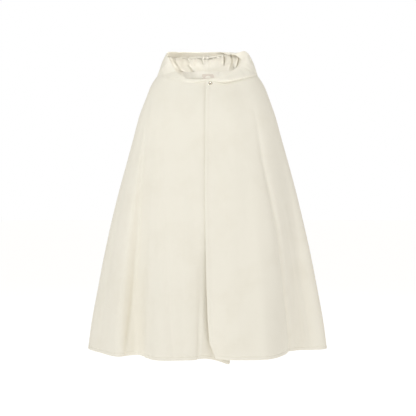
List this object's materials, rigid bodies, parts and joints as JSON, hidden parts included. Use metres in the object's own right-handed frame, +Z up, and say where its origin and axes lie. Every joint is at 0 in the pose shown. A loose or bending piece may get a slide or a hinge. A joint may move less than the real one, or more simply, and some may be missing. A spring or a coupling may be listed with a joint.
{
  "type": "burnous hooded cloak",
  "caption": "Long hooded wool cloak, worn and hollow, open at the neck and hem, with its satin-lined hood lowered at the back and its lapped fronts held by a snap at the throat.",
  "frame": {"origin": "middle of the neck opening, level with the point at the throat where the two fronts lap, where the wearer's shoulders and neck hold the cloak up", "axes": "+Z up, the front faces -Y, the wearer's left side is at +X"},
  "size_m": [0.9875, 0.597, 1.2873],
  "materials": {
    "wool": "cream wool cloth with a short soft nap",
    "satin": "ivory satin, softly creased",
    "label_cloth": "bare ivory woven tape",
    "snap_metal": "polished metal"
  },
  "bodies": {
    "root": {"front_left": "wool", "front_right": "wool", "back_left": "wool", "back_right": "wool", "hood_left": "wool", "hood_right": "wool", "hood_facing_left": "wool", "hood_facing_right": "wool", "hood_lining_left": "satin", "hood_lining_right": "satin", "label": "label_cloth", "snap_cap": "snap_metal", "snap_socket": "snap_metal", "snap_stud": "snap_metal"}
  },
  "joints": []
}
